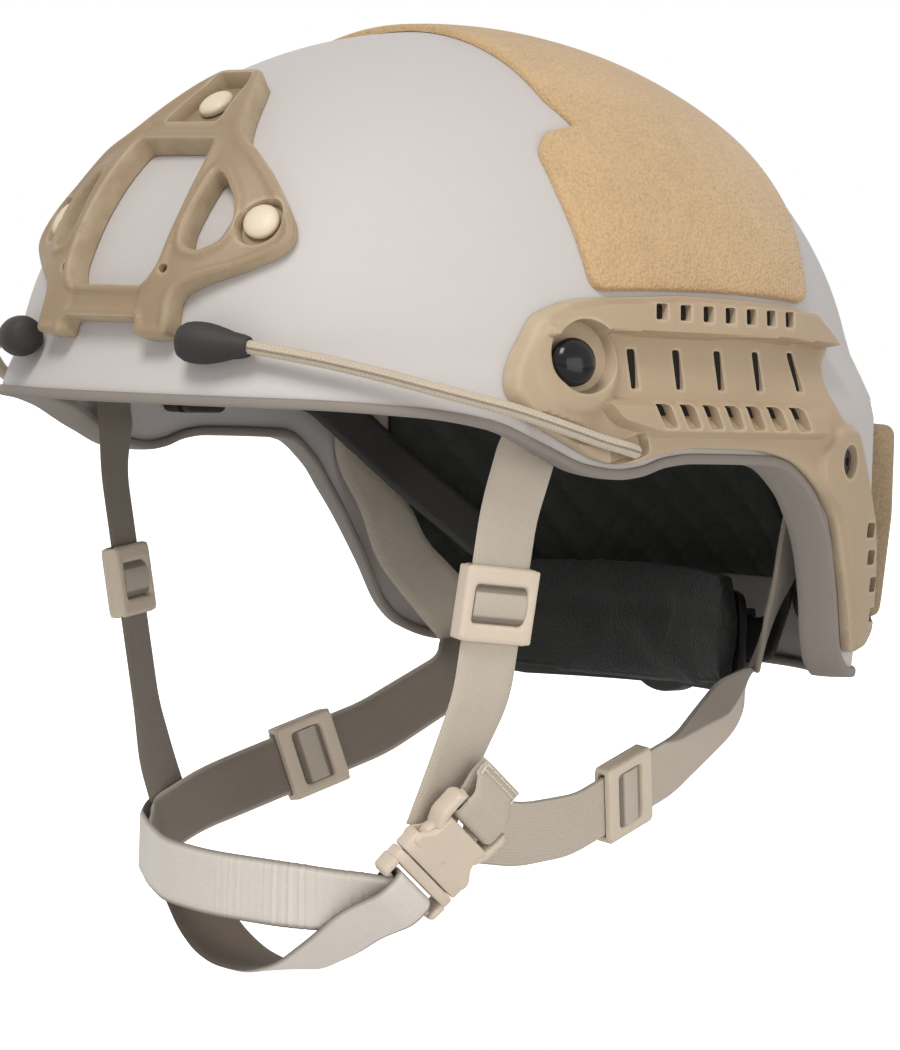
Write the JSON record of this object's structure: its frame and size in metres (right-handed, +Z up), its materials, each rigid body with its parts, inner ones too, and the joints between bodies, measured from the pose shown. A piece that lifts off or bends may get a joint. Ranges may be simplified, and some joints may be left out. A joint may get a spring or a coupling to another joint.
{
  "type": "combat helmet",
  "caption": "High-cut ballistic helmet with side accessory rails, front mounting shroud, padded liner, dial-adjusted nape cradle and a chin harness with a side-release buckle.",
  "frame": {"origin": "centre of the crown pad's underside, where the helmet rests on the top of the head", "axes": "+Z up, -Y towards the face, +X towards the wearer's left"},
  "size_m": [0.236, 0.287, 0.2831],
  "materials": {
    "shell_paint": "satin",
    "trim_rubber": "matte",
    "loop_fabric": "napped",
    "panel_fabric": "napped",
    "tan_plastic": "moulded",
    "pale_screw": "satin",
    "black_bolt": "gloss",
    "nut_steel": "dull",
    "bungee_cord": "braided",
    "cap_rubber": "matte",
    "pad_foam": "napped",
    "liner_fabric": "napped",
    "dark_plastic": "moulded",
    "webbing": "woven"
  },
  "bodies": {
    "helmet": {"shell": "shell_paint", "edge_trim": "trim_rubber", "crown_loop_field": "loop_fabric", "back_panel": "panel_fabric", "shroud": "tan_plastic", "shroud_screws": "pale_screw", "shroud_nuts": "nut_steel", "rail_left": "tan_plastic", "rail_right": "tan_plastic", "rail_bolts": "black_bolt", "rail_screws": "black_bolt", "rail_nuts": "nut_steel", "bungee_left": "bungee_cord", "bungee_right": "bungee_cord", "bungee_cap_left": "cap_rubber", "bungee_cap_right": "cap_rubber", "crown_pad": "pad_foam", "brow_pad": "pad_foam", "rear_pad": "pad_foam", "side_pad_left": "pad_foam", "side_pad_right": "pad_foam", "rear_liner": "liner_fabric", "strip_guide_left": "dark_plastic", "strip_guide_right": "dark_plastic", "front_strap_left": "webbing", "front_strap_right": "webbing", "rear_strap_left": "webbing", "rear_strap_right": "webbing", "buckle_female": "tan_plastic", "buckle_loop": "webbing", "chin_strap_front": "webbing", "chin_strap_lower": "webbing"},
    "cradle": {"nape_cradle": "dark_plastic", "nape_pad": "pad_foam", "dial_housing": "dark_plastic", "head_strip_left": "dark_plastic", "head_strip_right": "dark_plastic"},
    "dial": {"dial_knob": "dark_plastic"},
    "front_adjuster_left": {"front_slider_left": "tan_plastic"},
    "front_adjuster_right": {"front_slider_right": "tan_plastic"},
    "rear_adjuster_left": {"rear_slider_left": "tan_plastic"},
    "rear_adjuster_right": {"rear_slider_right": "tan_plastic"},
    "buckle": {"buckle_male": "tan_plastic"}
  },
  "joints": [
    {"name": "cradle_slide", "type": "slide", "parent": "helmet", "child": "cradle", "axis": [0, -1, 0], "range_m": [0, 0.008]},
    {"name": "dial_turn", "type": "hinge", "parent": "cradle", "child": "dial", "pos_m": [0, 0.115, -0.157], "axis": [0, -1, 0], "range_deg": [0, 360]},
    {"name": "front_adjuster_left_slide", "type": "slide", "parent": "helmet", "child": "front_adjuster_left", "axis": [-0.105, -0.0573, -0.9928], "range_m": [-0.008, 0.008]},
    {"name": "front_adjuster_right_slide", "type": "slide", "parent": "helmet", "child": "front_adjuster_right", "axis": [0.1111, 0.1236, -0.9861], "range_m": [-0.008, 0.008]},
    {"name": "rear_adjuster_left_slide", "type": "slide", "parent": "helmet", "child": "rear_adjuster_left", "axis": [0.116, -0.947, -0.2996], "range_m": [-0.008, 0.008]},
    {"name": "rear_adjuster_right_slide", "type": "slide", "parent": "helmet", "child": "rear_adjuster_right", "axis": [-0.116, -0.947, -0.2996], "range_m": [-0.008, 0.008]},
    {"name": "buckle_release", "type": "slide", "parent": "helmet", "child": "buckle", "axis": [-0.3736, -0.5668, -0.7343], "range_m": [0, 0.025], "deforming": ["chin_strap_front", "chin_strap_lower"]}
  ],
  "couplings": [
    {"joint": "dial_turn", "follows": "cradle_slide", "rad_per_m": 785}
  ]
}
